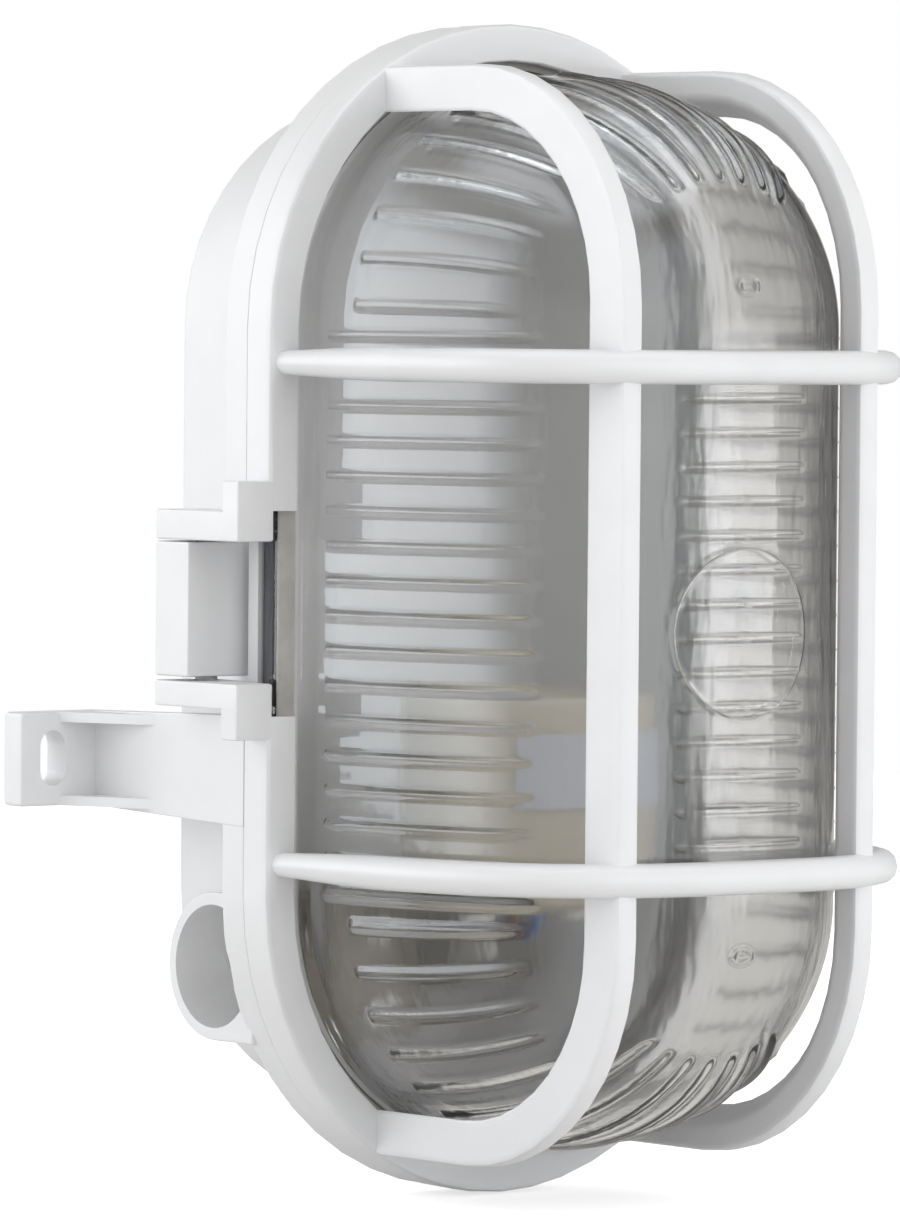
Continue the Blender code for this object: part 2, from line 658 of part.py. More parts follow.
def build_base(material):
    section = [
        (TUB_BACK_RADIUS - 1.6, FLOOR_BACK),
        (TUB_BACK_RADIUS - 0.5, FLOOR_BACK - 0.4),
        (TUB_BACK_RADIUS, FLOOR_BACK - 1.4),
        (TUB_TOP_RADIUS, BASE_BAND_BACK - 1.0),
        (BASE_RADIUS - BAND_WALL, BASE_BAND_BACK - 1.0),
        (BASE_RADIUS - BAND_WALL, BASE_BAND_BACK),
        (BASE_RADIUS - 0.2, BASE_BAND_BACK),
        (BASE_RADIUS, BASE_BAND_BACK - 0.2),
        (BASE_RADIUS, BASE_FRONT + 0.2),
        (BASE_RADIUS - 0.2, BASE_FRONT),
    ]
    base = add_object("base_housing", oval_sweep("base_housing", section, False), product, material)
    # The band makes room for the hinge
    room_x = (-BASE_RADIUS - CLEAR, -GROOVE_OUTER - 0.8)
    room_z = NOTCH_HALF + 0.8
    room = box("hinge_room", room_x, (0.0, BASE_BAND_BACK + 0.1), (-room_z, room_z))
    combine(base, "DIFFERENCE", room)
    view_x = (-BASE_RADIUS - CLEAR, -GROOVE_OUTER + 0.2)
    view = box("gasket_view", view_x, (0.0, GROOVE_FLOOR - 0.2), (-NOTCH_HALF, NOTCH_HALF))
    combine(base, "DIFFERENCE", view)
    block_x = (HINGE_OUT, -TUB_TOP_RADIUS + 1.4)
    block = box("hinge_block", block_x, (BLOCK_FRONT, HINGE_BACK), (BLOCK_BOTTOM, BLOCK_TOP))
    combine(base, "UNION", block, 0.4)
    bore = lathe("block_bore", [(PIN_BORE, -BORE_REACH), (PIN_BORE, BORE_REACH)], (PIVOT_X, PIVOT_DEPTH, 0), "Z")
    combine(base, "DIFFERENCE", bore)
    # Cable entry: a short sleeve, carried on to the band by flat cheeks
    reach = 16.0
    mouth = (ENTRY_MOUTH, ENTRY_DEPTH, ENTRY_Z)
    outline = [(BASE_BAND_BACK - 1.4, ENTRY_Z - ENTRY_RADIUS)]
    for i in range(21):
        angle = math.pi * i / 20
        depth = ENTRY_DEPTH + ENTRY_RADIUS * math.sin(angle)
        outline.append((depth, ENTRY_Z - ENTRY_RADIUS * math.cos(angle)))
    outline.append((BASE_BAND_BACK - 1.4, ENTRY_Z + ENTRY_RADIUS))
    sleeve = prism("entry_sleeve", outline, ENTRY_MOUTH, ENTRY_MOUTH + reach, "X")
    combine(base, "UNION", sleeve, 0.4)
    # Boss for the closing screw
    boss_x = (BASE_RADIUS - BAND_WALL - 0.5, LUG_OUT)
    boss = box("closing_boss", boss_x, (BASE_FRONT + 0.02, 16.0), (-LUG_HALF, LUG_HALF))
    combine(base, "UNION", boss, 0.6)
    hole = lathe("boss_hole", [(SCREW_BORE, -10.0), (SCREW_BORE, 12.0)], (CLOSE_X, 0, 0), "Y")
    combine(base, "DIFFERENCE", hole)
    foot_parts(base, "left", -1)
    foot_parts(base, "right", 1)
    # Hollow, gasket groove and the bore of the cable entry
    floor = FLOOR_BACK - FLOOR_THICK
    hollow = [
        (TUB_BACK_RADIUS - TUB_WALL - 1.2, floor),
        (TUB_BACK_RADIUS - TUB_WALL, floor - 1.2),
        (TUB_TOP_RADIUS - TUB_WALL, BASE_FRONT - 6.0),
    ]
    combine(base, "DIFFERENCE", oval_sweep("tub_hollow", hollow, False))
    lip = [
        (GROOVE_INNER - 2.5, BASE_FRONT - 3.0),
        (GROOVE_INNER - 2.5, BASE_FRONT + 0.5),
        (GROOVE_INNER, BASE_FRONT + 0.5),
        (GROOVE_INNER, GROOVE_FLOOR),
        (GROOVE_OUTER, GROOVE_FLOOR),
        (GROOVE_OUTER, BASE_FRONT - 3.0),
    ]
    combine(base, "DIFFERENCE", oval_sweep("gasket_groove", lip))
    entry = [(ENTRY_BORE, -6.0), (ENTRY_BORE, 20.0)]
    combine(base, "DIFFERENCE", lathe("entry_bore", entry, mouth, "X", 40))
    # Posts for the bracket and for the terminal block
    post_front = BRACKET_BACK + GAP
    for label, z in (("upper", BRACKET_BOTTOM + 19.0), ("lower", BRACKET_BOTTOM + 5.0)):
        post = [(3.6, post_front), (3.9, floor + 0.5)]
        combine(base, "UNION", lathe("post_" + label, post, (0, 0, z), "Y", 12))
        pilot = [(SMALL_SHANK + GAP, post_front - 2.5), (SMALL_SHANK + GAP, FLOOR_BACK - 1.0)]
        combine(base, "DIFFERENCE", lathe("pilot_" + label, pilot, (0, 0, z), "Y", 14))
    post = [(POST_RADIUS - 0.2, floor - POST_HEIGHT), (POST_RADIUS, floor + 0.5)]
    combine(base, "UNION", lathe("post_terminal", post, (BLOCK_X, 0, BLOCK_Z), "Y", 12))
    pilot = [(FIXING_SHANK + GAP, floor - POST_HEIGHT - 5.0), (FIXING_SHANK + GAP, FLOOR_BACK - 1.1)]
    combine(base, "DIFFERENCE", lathe("pilot_terminal", pilot, (BLOCK_X, 0, BLOCK_Z), "Y", 12))
    return base


def screw_mesh(name, shank, head, start, grip, length, centre, axis, thick=1.8):
    """A pan head screw: the head stands before the start, the shank runs on behind it."""
    direction = 1 if length > 0 else -1
    section = [
        (0.55 * head, start - direction * thick),
        (0.9 * head, start - direction * 0.75 * thick),
        (head, start - direction * 0.35 * thick),
        (head, start),
        (shank, start),
        (shank, start + direction * grip),
        (0.86 * shank, start + length - direction * 0.8),
        (0.35 * shank, start + length),
    ]
    return lathe(name, section, centre, axis, 12 if shank < 1.6 else 20)


def slotted_screw(name, shank, head, start, length, centre, axis, material, thick=1.8):
    item = add_object(
        name, screw_mesh(name, shank, head, start, 0.6, length, centre, axis, thick), product, material
    )
    direction = 1 if length > 0 else -1
    low = start - direction * (thick + 1.0)
    high = start - direction * (thick - 0.8)
    span = sorted((low, high))
    half = head + 1.0
    x, depth, z = centre
    if axis == "Y":
        slot = box(name + "_slot", (x - half, x + half), (depth + span[0], depth + span[1]), (z - 0.4, z + 0.4))
    else:
        slot = box(name + "_slot", (x - half, x + half), (depth - 0.4, depth + 0.4), (z + span[0], z + span[1]))
    combine(item, "DIFFERENCE", slot)
    return item


def build_lampholder(porcelain, brass, steel, paper):
    centre = (0.0, HOLDER_DEPTH, 0.0)
    section = [
        (HOLDER_BORE + 2.6, HOLDER_MOUTH),
        (HOLDER_RADIUS - 0.8, HOLDER_MOUTH),
        (HOLDER_RADIUS, HOLDER_MOUTH - 0.9),
        (HOLDER_RADIUS, HOLDER_SHOULDER + 1.0),
        (HOLDER_RADIUS - 0.8, HOLDER_SHOULDER),
        (HOLDER_NECK + 1.0, HOLDER_BOTTOM + 1.4),
        (HOLDER_NECK, HOLDER_BOTTOM),
        (6.0, HOLDER_BOTTOM),
        (6.0, HOLDER_SHOULDER + 0.5),
        (HOLDER_BORE, HOLDER_SHOULDER + 0.5),
        (HOLDER_BORE, HOLDER_MOUTH - 3.0),
        (HOLDER_BORE + 1.2, HOLDER_MOUTH - 1.0),
    ]
    mesh = lathe("lampholder_body", section, centre, "Z", 40, True)
    body = add_object("lampholder_body", mesh, product, porcelain)
    for label, x in (("left", -HOLDER_SCREW_X), ("right", HOLDER_SCREW_X)):
        pilot = [(SMALL_SHANK + GAP, HOLDER_BOTTOM - 2.0), (SMALL_SHANK + GAP, HOLDER_BOTTOM + 5.0)]
        combine(body, "DIFFERENCE", lathe("holder_pilot_" + label, pilot, (x, HOLDER_DEPTH, 0), "Z", 12))
    # Rolled thread of the metal shell
    top = HOLDER_MOUTH - 2.2
    bottom = HOLDER_SHOULDER + 0.5 + GAP
    outer = []
    inner = []
    steps = int((top - bottom) / (THREAD_PITCH / 2))
    for i in range(steps + 1):
        z = top + (bottom - top) * i / steps
        wave = THREAD_HEIGHT if i % 2 else -THREAD_HEIGHT
        outer.append((SHELL_RADIUS + wave, z))
        inner.append((SHELL_RADIUS + wave - SHELL_WALL, z))
    inner[-1] = (SHELL_RADIUS - 3.0, bottom + SHELL_WALL)
    outer[-1] = (SHELL_RADIUS - 0.4, bottom)
    section = outer + [(SHELL_RADIUS - 3.0, bottom)] + inner[::-1]
    mesh = lathe("lampholder_shell", section, centre, "Z", 28, True)
    add_object("lampholder_shell", mesh, product, brass)
    # Springy contact in the middle: a bent strip
    z = HOLDER_SHOULDER + 1.6
    strip = [(-8.5, z), (-1.5, z + 4.6), (2.6, z + 4.6), (2.6, z + 4.0), (-1.1, z + 4.0), (-8.2, z - 0.6)]
    points = []
    for y in (-2.4, 2.4):
        points.append([(x, FRONT + HOLDER_DEPTH + y, zz) for x, zz in strip])
    add_object("centre_contact", loft("centre_contact", points), product, brass)
    # Bracket: shelf under the lampholder, bent down along the floor of the tub
    top = HOLDER_BOTTOM - GAP
    under = top - BRACKET_THICK
    front = BRACKET_BACK - BRACKET_THICK
    nose = HOLDER_DEPTH - 6.5
    outline = [
        (nose, top),
        (BRACKET_BACK - 1.2, top),
        (BRACKET_BACK, top - 1.2),
        (BRACKET_BACK, BRACKET_BOTTOM),
        (front, BRACKET_BOTTOM),
        (front, under),
        (nose, under),
    ]
    bracket = add_object(
        "lampholder_bracket",
        prism("lampholder_bracket", outline, -BRACKET_HALF - 4.5, BRACKET_HALF + 4.5, "X"),
        product,
        steel,
    )
    for label, side in (("left", -1), ("right", 1)):
        x = sorted((side * BRACKET_HALF, side * (BRACKET_HALF + 11.0)))
        trim = box("bracket_trim_" + label, x, (HOLDER_DEPTH + 9.0, FLOOR_BACK), (BRACKET_BOTTOM - 2.0, top + 2.0))
        combine(bracket, "DIFFERENCE", trim)
        hole = [(SMALL_SHANK + GAP, top + 2.0), (SMALL_SHANK + GAP, under - 2.0)]
        place = (side * HOLDER_SCREW_X, HOLDER_DEPTH, 0)
        combine(bracket, "DIFFERENCE", lathe("bracket_hole_" + label, hole, place, "Z", 12))
        slotted_screw(
            "holder_screw_" + label, SMALL_SHANK, SMALL_HEAD, under - GAP, 6.0, place, "Z", steel
        )
    eye = [(4.6, top + 2.0), (4.6, under - 2.0)]
    combine(bracket, "DIFFERENCE", lathe("bracket_eye", eye, (0, HOLDER_DEPTH, 0), "Z", 24))
    for label, z in (("upper", BRACKET_BOTTOM + 19.0), ("lower", BRACKET_BOTTOM + 5.0)):
        hole = [(SMALL_SHANK + GAP, front - 2.0), (SMALL_SHANK + GAP, BRACKET_BACK + 2.0)]
        combine(bracket, "DIFFERENCE", lathe("bracket_fix_" + label, hole, (0, 0, z), "Y", 12))
        start = front - GAP
        slotted_screw(
            "bracket_screw_" + label, SMALL_SHANK, SMALL_HEAD, start, 4.6, (0, 0, z), "Y", steel
        )
    # Plain sticker on the front of the lampholder
    rings = []
    for i in range(13):
        angle = math.radians(-90.0 + 43.0 * (i - 6) / 6)
        c = math.cos(angle)
        s = math.sin(angle)
        near = HOLDER_RADIUS + GAP
        far = near + LABEL_THICK
        y = FRONT + HOLDER_DEPTH
        rings.append(
            [
                (near * c, y + near * s, LABEL_BOTTOM),
                (far * c, y + far * s, LABEL_BOTTOM),
                (far * c, y + far * s, LABEL_TOP),
                (near * c, y + near * s, LABEL_TOP),
            ]
        )
    add_object("holder_label", loft("holder_label", rings), product, paper)


def build_terminals(plastic, brass, steel, brown, blue):
    floor = FLOOR_BACK - FLOOR_THICK
    back = floor - GAP
    front = back - BLOCK_DEPTH
    x = (BLOCK_X - BLOCK_WIDTH / 2, BLOCK_X + BLOCK_WIDTH / 2)
    z = (BLOCK_Z - BLOCK_HEIGHT / 2, BLOCK_Z + BLOCK_HEIGHT / 2)
    block = add_object("terminal_block", box("terminal_block", x, (front, back), z), product, plastic)
    # Room round the post, and a bore for the fixing screw
    seat = POST_RADIUS + GAP + 0.1
    post = [(seat, floor - POST_HEIGHT - GAP), (seat, floor + 2.0)]
    combine(block, "DIFFERENCE", lathe("terminal_seat", post, (BLOCK_X, 0, BLOCK_Z), "Y", 12))
    bore = [(FIXING_SHANK + GAP, front - 2.0), (FIXING_SHANK + GAP, floor)]
    combine(block, "DIFFERENCE", lathe("terminal_bore", bore, (BLOCK_X, 0, BLOCK_Z), "Y", 12))
    sink = [(2.6, front - 2.0), (2.6, front + 2.4)]
    combine(block, "DIFFERENCE", lathe("terminal_sink", sink, (BLOCK_X, 0, BLOCK_Z), "Y", 12))
    slotted_screw(
        "terminal_fixing_screw", FIXING_SHANK, 2.2, front + 2.4 - GAP, 9.5, (BLOCK_X, 0, BLOCK_Z), "Y", steel, 1.4
    )
    middle = (front + back) / 2 + 0.6
    for label, side in (("live", -1), ("neutral", 1)):
        pole = BLOCK_X + side * (POLE_OFFSET + 1.6)
        room = [(2.1 + GAP, z[0] - 2.0), (2.1 + GAP, z[1] + 2.0)]
        combine(block, "DIFFERENCE", lathe("room_" + label, room, (pole, middle, 0), "Z", 20))
        section = [(1.5, z[0] + 0.6), (2.1, z[0] + 0.6), (2.1, z[1] - 0.6), (1.5, z[1] - 0.6)]
        mesh = lathe("terminal_tube_" + label, section, (pole, middle, 0), "Z", 20, True)
        clamp = add_object("terminal_tube_" + label, mesh, product, brass)
        for end, shift in (("upper", 3.4), ("lower", -3.4)):
            place = (pole, 0, BLOCK_Z + shift)
            name = "terminal_screw_%s_%s" % (label, end)
            well = [(1.35, front - 2.0), (1.35, middle)]
            combine(block, "DIFFERENCE", lathe(name + "_well", well, place, "Y", 12))
            hole = [(1.05, front - 2.0), (1.05, middle)]
            combine(clamp, "DIFFERENCE", lathe(name + "_hole", hole, place, "Y", 12))
            slotted_screw(name, 0.75, 1.05, front + 1.6, 2.7, place, "Y", steel, 1.0)
    # Leads from the terminals up to the underside of the lampholder
    y = FRONT + middle
    for label, side, material in (("live", -1, brown), ("neutral", 1, blue)):
        pole = BLOCK_X + side * (POLE_OFFSET + 1.6)
        end = side * 2.2
        under = HOLDER_BOTTOM - 5.6
        path = [
            (pole, y, z[1] - 1.6),
            (pole, y, z[1] + 0.4),
            (pole - 0.2, y - 1.6, z[1] + 2.0),
            (pole - 1.0, y - 5.0, z[1] + 2.2),
            (7.0 + side * 3.2, FRONT + 12.0, under),
            (end, FRONT + HOLDER_DEPTH + 1.0, under + 0.8),
            (end, FRONT + HOLDER_DEPTH, HOLDER_BOTTOM + 3.0),
        ]
        lead = smooth(path, 4)
        mesh = tube("lead_" + label, lead, [LEAD_RADIUS] * len(lead), 2)
        add_object("lead_" + label, mesh, product, material)


def smooth(path, steps):
    """Rounds a path of a few points into an even curve that passes through them."""
    ends = [path[0]] + path + [path[-1]]
    result = []
    for k in range(1, len(ends) - 2):
        p = ends[k - 1 : k + 3]
        for i in range(steps):
            t = i / steps
            point = []
            for axis in range(3):
                a, b, c, d = (q[axis] for q in p)
                value = 0.5 * (
                    2 * b
                    + (c - a) * t
                    + (2 * a - 5 * b + 4 * c - d) * t * t
                    + (3 * b - a - 3 * c + d) * t**3
                )
                point.append(value)
            result.append(tuple(point))
    result.append(path[-1])
    return result


def build_fasteners(plastic, steel):
    top = BLOCK_TOP + GAP + ARM_THICK_UPPER - 0.2
    bottom = BLOCK_BOTTOM - LOWER_PLAY - ARM_THICK_LOWER + 0.2
    section = [
        (PIN_RADIUS - 0.3, bottom),
        (PIN_RADIUS, bottom + 0.3),
        (PIN_RADIUS, top - 0.3),
        (PIN_RADIUS - 0.3, top),
    ]
    mesh = lathe("hinge_pin", section, (PIVOT_X, PIVOT_DEPTH, 0), "Z", 24)
    add_object("hinge_pin", mesh, product, plastic)
    slotted_screw(
        "closing_screw", SCREW_RADIUS, SCREW_HEAD, -GAP, 9.5, (CLOSE_X, 0, 0), "Y", steel, 2.4
    )


clear_scene()
product = make_collection("oval_wall_light")
helpers = make_collection("helpers", hidden=True)

white = make_material("white_plastic", (0.83, 0.84, 0.86), 0.38)
clear_glass = make_material("clear_glass", (0.93, 0.95, 0.95), 0.04, transmission=1.0)
rubber = make_material("grey_rubber", (0.10, 0.105, 0.12), 0.65)
porcelain = make_material("cream_porcelain", (0.80, 0.74, 0.63), 0.3)
brass = make_material("nickelled_brass", (0.68, 0.62, 0.50), 0.32, 1.0)
steel = make_material("zinc_steel", (0.60, 0.61, 0.63), 0.36, 1.0)
paper = make_material("plain_sticker", (0.78, 0.82, 0.88), 0.5)
black = make_material("dark_thermoset", (0.035, 0.035, 0.038), 0.45)
brown = make_material("brown_insulation", (0.16, 0.07, 0.035), 0.5)
blue = make_material("blue_insulation", (0.05, 0.14, 0.42), 0.5)

build_base(white)
build_guard(white)
build_glass(clear_glass)
build_gasket(rubber)
build_lampholder(porcelain, brass, steel, paper)
build_terminals(black, brass, steel, brown, blue)
build_fasteners(white, steel)
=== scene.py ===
import math

import bmesh
import bpy
from mathutils import Matrix, Vector


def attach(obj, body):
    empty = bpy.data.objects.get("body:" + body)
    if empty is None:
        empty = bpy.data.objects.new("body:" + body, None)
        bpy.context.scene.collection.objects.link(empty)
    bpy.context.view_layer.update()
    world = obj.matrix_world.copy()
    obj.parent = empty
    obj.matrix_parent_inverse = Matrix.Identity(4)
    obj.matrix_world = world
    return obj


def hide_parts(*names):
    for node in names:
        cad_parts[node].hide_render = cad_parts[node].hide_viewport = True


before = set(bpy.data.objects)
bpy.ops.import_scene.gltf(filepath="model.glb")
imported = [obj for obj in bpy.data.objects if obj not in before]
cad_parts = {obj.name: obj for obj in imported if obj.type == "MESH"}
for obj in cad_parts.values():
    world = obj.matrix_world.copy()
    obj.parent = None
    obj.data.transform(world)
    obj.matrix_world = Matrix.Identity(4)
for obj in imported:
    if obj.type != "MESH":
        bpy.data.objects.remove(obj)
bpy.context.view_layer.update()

MM = 0.001
FRONT = -51.0  # y of the rim's front plane, in millimetres from the wall
HALF_STRAIGHT = 45.5  # half the straight side of every oval

# The photograph's camera, fitted to the oval rim and the hoops
CAMERA_AZIMUTH = -38.812
CAMERA_ELEVATION = 2.003
CAMERA_ROLL = 0.506
CAMERA_DISTANCE = 1.4122
CAMERA_CLIP = (0.05, 20.0)
IMAGE_WIDTH = 900
IMAGE_HEIGHT = 1222
FOCAL_PIXELS = 8686.9
AIM_PIXEL = (509.97, 609.47)  # where the middle of the rim's front plane is seen
SENSOR = 36.0

# Glass dome in millimetres, as the part's source has it. Starts are depths, ends are radii.
GLASS_RADIUS = 41.3
GLASS_FRONT = 59.3
GLASS_POWER = 2.45
GLASS_WALL = 2.4
FLANGE_RADIUS = 45.6
FLANGE_FRONT = 2.3
FLANGE_BACK = 4.7
RIB_PITCH = 5.56
SIDE_RIBS = 17
FAN_RIBS = 17
SIDE_RIB_START = 4.5
FAN_RIB_START = 10.5
FAN_RIB_END = 23.5
LADDER_RIBS = 14
LADDER_PITCH = 5.39
LADDER_HALF = 13.5

# Finer shape of the glass, which only the looks need
CHAMFER = 0.3  # of the flange
ROOT_ROUND = 1.0  # between the flange and the dome
SIDE_RIB_HEIGHT = 0.9
SIDE_RIB_HALF_WIDTH = 0.95
SIDE_RIB_END = 30.2  # further back than in the source, for a smooth right edge
SIDE_RIB_RISE = 0.8  # length over which a side rib starts
SIDE_RIB_FADE = 3.0  # length over which it ends
FAN_RIB_HEIGHT = 0.75
FAN_RIB_HALF_WIDTH = 1.15
FAN_RIB_RISE = 1.4
FAN_SIDE_END = 32.0  # where the outermost ribs of the fans end
FAN_SIDE_SHARE = (0.5, 0.2)  # from which share of the radius the end moves back, and over which
LADDER_HEIGHT = 0.16
LADDER_HALF_WIDTH = 0.7
LADDER_FADE = 2.2
MARK_RADIUS = 13.4
MARK_HALF_WIDTH = 0.6
MARK_DEPTH = 0.05
MARK_LINE = 0.22  # half width of the fine line in the groove
MARK_Z = -1.9
PIP_Z = 52.7
PIP_SIZE = (1.9, 1.1)
PIP_HEIGHT = 0.2
PIP_HALF_WIDTH = 0.5  # of the pip's rim, as a share of its size

# Spacing of the dome's rings and stations
SIDE_STEP = 0.44  # between stations along the straight sides
FAN_STEPS = 12  # stations for each rib of the fans
INNER_EVERY = 4  # the hollow takes every fourth station
INNER_RINGS = 36
FINE_STEP = 0.38  # between rings where a rib ends or the front has its marks
WALL_STEP = 1.6
SHOULDER_STEP = 2.6
FRONT_STEP = 1.1
SHOULDER_DEPTH = 40.0  # from here on the rings are set out by radius
MIDDLE_RADIUS = 0.5  # of the last ring
RIB_LEAD = 0.3  # how far close rings reach outside a rib
SIDE_RIB_LAP = (1.7, 1.6)  # and how far inside it, at its start and at its end
FAN_RIB_LAP = 1.9
MARK_LEAD = 1.6


def make_camera():
    azimuth = math.radians(CAMERA_AZIMUTH)
    elevation = math.radians(CAMERA_ELEVATION)
    level = math.cos(elevation)
    back = Vector((math.sin(azimuth) * level, -math.cos(azimuth) * level, math.sin(elevation)))
    right = Vector((math.cos(azimuth), math.sin(azimuth), 0.0))
    up = back.cross(right)
    data = bpy.data.cameras.new("camera")
    data.sensor_width = SENSOR
    data.lens = FOCAL_PIXELS * SENSOR / IMAGE_HEIGHT
    data.shift_x = -(AIM_PIXEL[0] - IMAGE_WIDTH / 2) / IMAGE_HEIGHT
    data.shift_y = (AIM_PIXEL[1] - IMAGE_HEIGHT / 2) / IMAGE_HEIGHT
    data.clip_start, data.clip_end = CAMERA_CLIP
    camera = bpy.data.objects.new("camera", data)
    place = Vector((0.0, FRONT * MM, 0.0)) + back * CAMERA_DISTANCE
    roll = Matrix.Rotation(math.radians(CAMERA_ROLL), 3, "Z")
    turn = Matrix((right, up, back)).transposed() @ roll
    camera.matrix_world = Matrix.Translation(place) @ turn.to_4x4()
    bpy.context.scene.collection.objects.link(camera)
    bpy.context.scene.camera = camera


# Materials. Noise scales are per metre, bump depths in metres.

SHADE_STOPS = (0.3, 0.7)  # noise levels of the darker and the paler shade
NOISE_DETAIL = 3.0
PLASTIC_IOR = 1.49
PLASTIC_SHADES = 90.0
PLASTIC_GRAIN_DEPTH = 0.0002
METAL_SHADES = 400.0
METAL_DARKEST = 0.9
METAL_GRAIN = (2600.0, 0.06, 0.0001)  # scale, strength and depth
GLASS_COLOUR = (0.955, 0.952, 0.945)
GLASS_IOR = 1.5
RIPPLE_DETAIL = 2.0
RIPPLE_DEPTH = 0.0005
MARK_BUMP = (0.7, 0.0001)  # strength and depth
FROSTED_SHADES = (300.0, (0.50, 0.485, 0.45), (0.60, 0.585, 0.55))
FROSTED_ROUGHNESS = 0.45
FROSTED_CLEARNESS = 0.25
FROSTED_GRAIN = (1500.0, 0.2, 0.0002)


def new_material(name, sockets):
    """A Principled material, with numbers set on the shader's own sockets."""
    material = bpy.data.materials.new(name)
    material.use_nodes = True
    tree = material.node_tree
    shader = tree.nodes["Principled BSDF"]
    for socket, value in sockets.items():
        shader.inputs[socket].default_value = value
    return material, tree, shader


def math_node(tree, operation, first, second=None):
    """A Math node whose inputs are numbers or sockets."""
    node = tree.nodes.new("ShaderNodeMath")
    node.operation = operation
    for slot, value in enumerate((first, second)):
        if isinstance(value, float):
            node.inputs[slot].default_value = value
        elif value is not None:
            tree.links.new(value, node.inputs[slot])
    return node.outputs["Value"]


def own_space(tree):
    return tree.nodes.new("ShaderNodeTexCoord").outputs["Object"]


def mapped_space(tree, location, scale):
    mapping = tree.nodes.new("ShaderNodeMapping")
    mapping.inputs["Location"].default_value = location
    mapping.inputs["Scale"].default_value = scale
    tree.links.new(own_space(tree), mapping.inputs["Vector"])
    return mapping.outputs["Vector"]


def noise_in(tree, space, scale, detail):
    noise = tree.nodes.new("ShaderNodeTexNoise")
    noise.inputs["Scale"].default_value = scale
    noise.inputs["Detail"].default_value = detail
    tree.links.new(space, noise.inputs["Vector"])
    return noise.outputs["Fac"]


def object_noise(tree, scale):
    return noise_in(tree, own_space(tree), scale, NOISE_DETAIL)


def stretched_noise(tree, scale, stretch):
    """Noise drawn out along the vertical, as in glass that ran down a mould."""
    space = mapped_space(tree, (0.0, 0.0, 0.0), (1.0, 1.0, 1.0 / stretch))
    return noise_in(tree, space, scale, RIPPLE_DETAIL)


def bump(tree, height, strength, distance, normal=None):
    node = tree.nodes.new("ShaderNodeBump")
    node.inputs["Strength"].default_value = strength
    node.inputs["Distance"].default_value = distance
    tree.links.new(height, node.inputs["Height"])
    if normal is not None:
        tree.links.new(normal, node.inputs["Normal"])
    return node.outputs["Normal"]


def shades(tree, shader, scale, low, high):
    """A base colour that drifts a little between two near shades."""
    ramp = tree.nodes.new("ShaderNodeValToRGB")
    for place, position, colour in zip(ramp.color_ramp.elements, SHADE_STOPS, (low, high)):
        place.position = position
        place.color = (*colour, 1.0)
    tree.links.new(object_noise(tree, scale), ramp.inputs["Fac"])
    tree.links.new(ramp.outputs["Color"], shader.inputs["Base Color"])


def grain(tree, shader, scale, strength, depth):
    normal = bump(tree, object_noise(tree, scale), strength, depth)
    tree.links.new(normal, shader.inputs["Normal"])


def plastic(name, colour, roughness, grain_strength=0.05, grain_scale=1800.0, spread=0.02):
    material, tree, shader = new_material(name, {"Roughness": roughness, "IOR": PLASTIC_IOR})
    low = tuple(c * (1.0 - spread) for c in colour)
    high = tuple(min(1.0, c * (1.0 + spread)) for c in colour)
    shades(tree, shader, PLASTIC_SHADES, low, high)
    grain(tree, shader, grain_scale, grain_strength, PLASTIC_GRAIN_DEPTH)
    return material


def metal(name, colour, roughness):
    material, tree, shader = new_material(name, {"Roughness": roughness, "Metallic": 1.0})
    shades(tree, shader, METAL_SHADES, tuple(c * METAL_DARKEST for c in colour), colour)
    grain(tree, shader, *METAL_GRAIN)
    return material


def mark_line(tree):
    """Height of the fine ring on the front, by the distance from its middle."""
    reach = tree.nodes.new("ShaderNodeVectorMath")
    reach.operation = "LENGTH"
    space = mapped_space(tree, (0.0, 0.0, -MARK_Z * MM), (1.0, 0.0, 1.0))
    tree.links.new(space, reach.inputs[0])
    away = math_node(tree, "SUBTRACT", reach.outputs["Value"], MARK_RADIUS * MM)
    away = math_node(tree, "ABSOLUTE", away)
    away = math_node(tree, "DIVIDE", away, MARK_LINE * MM)
    return math_node(tree, "MINIMUM", away, 1.0)


def glass(name, roughness, ripple, ripple_scale, stretch, marked):
    """Pressed glass with a soft ripple; marked adds the fine ring of the front."""
    sockets = {
        "Base Color": (*GLASS_COLOUR, 1.0),
        "Roughness": roughness,
        "IOR": GLASS_IOR,
        "Transmission Weight": 1.0,
    }
    material, tree, shader = new_material(name, sockets)
    normal = bump(tree, stretched_noise(tree, ripple_scale, stretch), ripple, RIPPLE_DEPTH)
    if marked:
        normal = bump(tree, mark_line(tree), *MARK_BUMP, normal)
    tree.links.new(normal, shader.inputs["Normal"])
    return material


def frosted_glass(name):
    """The flange's cut edge, which scatters the light."""
    sockets = {
        "Roughness": FROSTED_ROUGHNESS,
        "IOR": GLASS_IOR,
        "Transmission Weight": FROSTED_CLEARNESS,
    }
    material, tree, shader = new_material(name, sockets)
    shades(tree, shader, *FROSTED_SHADES)
    grain(tree, shader, *FROSTED_GRAIN)
    return material


# Visual pieces

WELD = 0.002  # millimetres
FLAT_ANGLE = 0.6  # degrees between facets that are one flat face
ROUNDED_ANGLE = 34.0  # degrees from which an edge is rounded
ROUND_SEGMENTS = 2
FLAT_WEIGHT = 60  # how much the large faces set the normals
OUTSIDE, HOLLOW, EDGE = 0, 1, 2  # material slots of the glass


